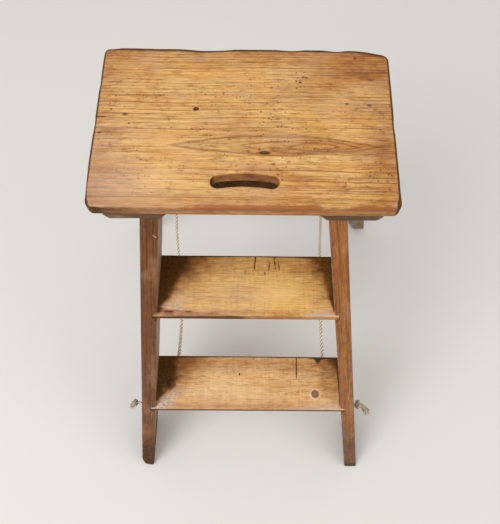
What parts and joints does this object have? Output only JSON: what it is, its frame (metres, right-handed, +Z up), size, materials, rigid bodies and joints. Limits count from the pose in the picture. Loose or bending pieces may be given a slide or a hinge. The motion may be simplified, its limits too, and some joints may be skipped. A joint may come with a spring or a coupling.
{
  "type": "wooden stepladder",
  "caption": "Old folding pine steps: broad top board with a hand slot, trenched treads between splayed stiles, and a hinged rear frame tied with rope.",
  "frame": {"origin": "on the floor, in the middle of the box that stands on the four feet", "axes": "+Z up, +X to the right of someone who faces the treads, front of the treads towards -Y"},
  "size_m": [0.631, 0.6636, 0.76],
  "materials": {
    "top_wood": "worn, waxed honey pine",
    "tread_wood": "worn, waxed golden pine",
    "stile_wood": "worn reddish-brown pine",
    "batten_wood": "dull brown pine",
    "rear_wood": "dull brown pine",
    "peg_wood": "dull end grain",
    "iron": "dark and lightly rusted",
    "rope": "laid natural fibre"
  },
  "bodies": {
    "front_frame": {"top_board": "top_wood", "batten_left": "batten_wood", "batten_right": "batten_wood", "front_stile_left": "stile_wood", "front_stile_right": "stile_wood", "upper_tread": "tread_wood", "lower_tread": "tread_wood", "back_rail": "batten_wood", "hinge_top_leaf_left": "iron", "hinge_top_leaf_right": "iron", "hinge_pin_left": "iron", "hinge_pin_right": "iron", "hinge_top_screws": "iron", "top_nails": "iron", "tread_nails": "iron", "back_rail_nails": "iron", "rope_left": "rope", "rope_right": "rope", "front_knot_left": "rope", "front_knot_right": "rope"},
    "rear_frame": {"rear_leg_left": "rear_wood", "rear_leg_right": "rear_wood", "rear_upper_rail": "rear_wood", "rear_lower_rail": "rear_wood", "hinge_leg_leaf_left": "iron", "hinge_leg_leaf_right": "iron", "hinge_leg_screws": "iron", "rail_pegs": "peg_wood", "rear_knot_left": "rope", "rear_knot_right": "rope"}
  },
  "joints": [
    {"name": "rear_frame_fold", "type": "hinge", "parent": "front_frame", "child": "rear_frame", "pos_m": [0, 0.1276, 0.7122], "axis": [-1, 0, 0], "range_deg": [0, 41.5], "deforming": ["rope_left", "rope_right"]}
  ]
}
